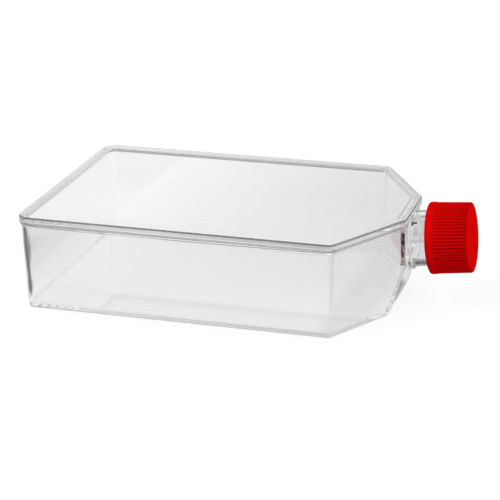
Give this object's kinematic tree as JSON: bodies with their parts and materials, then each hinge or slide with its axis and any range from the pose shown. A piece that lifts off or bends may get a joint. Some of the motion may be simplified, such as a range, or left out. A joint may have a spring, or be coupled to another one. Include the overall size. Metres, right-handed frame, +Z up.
{
  "type": "cell culture flask",
  "caption": "Flat clear plastic flask for growing cells, with slanted shoulders, a canted neck and a ribbed red screw cap.",
  "frame": {"origin": "middle of the bounding box, on the underside that the flask lies on", "axes": "+X along the flask toward the neck and cap, +Z up through the top plate, +Y across"},
  "size_m": [0.2018, 0.1194, 0.0491],
  "materials": {
    "clear_plastic": "clear polished polystyrene",
    "cap_red": "satin moulded polyethylene",
    "seal_white": "soft foamed polyethylene"
  },
  "bodies": {
    "flask": {"flask_body": "clear_plastic", "top_plate": "clear_plastic"},
    "seal": {"cap_seal": "seal_white"},
    "cap": {"screw_cap": "cap_red"}
  },
  "joints": [
    {"name": "cap_lift", "type": "slide", "parent": "flask", "child": "seal", "axis": [0.9945, 0, 0.1045], "range_m": [0, 0.02]},
    {"name": "cap_turn", "type": "hinge", "parent": "seal", "child": "cap", "pos_m": [0.07121, 0, 0.0301], "axis": [0.9945, 0, 0.1045], "range_deg": [0, 1440]}
  ],
  "couplings": [
    {"joint": "cap_turn", "follows": "cap_lift", "rad_per_m": 1256.6}
  ]
}
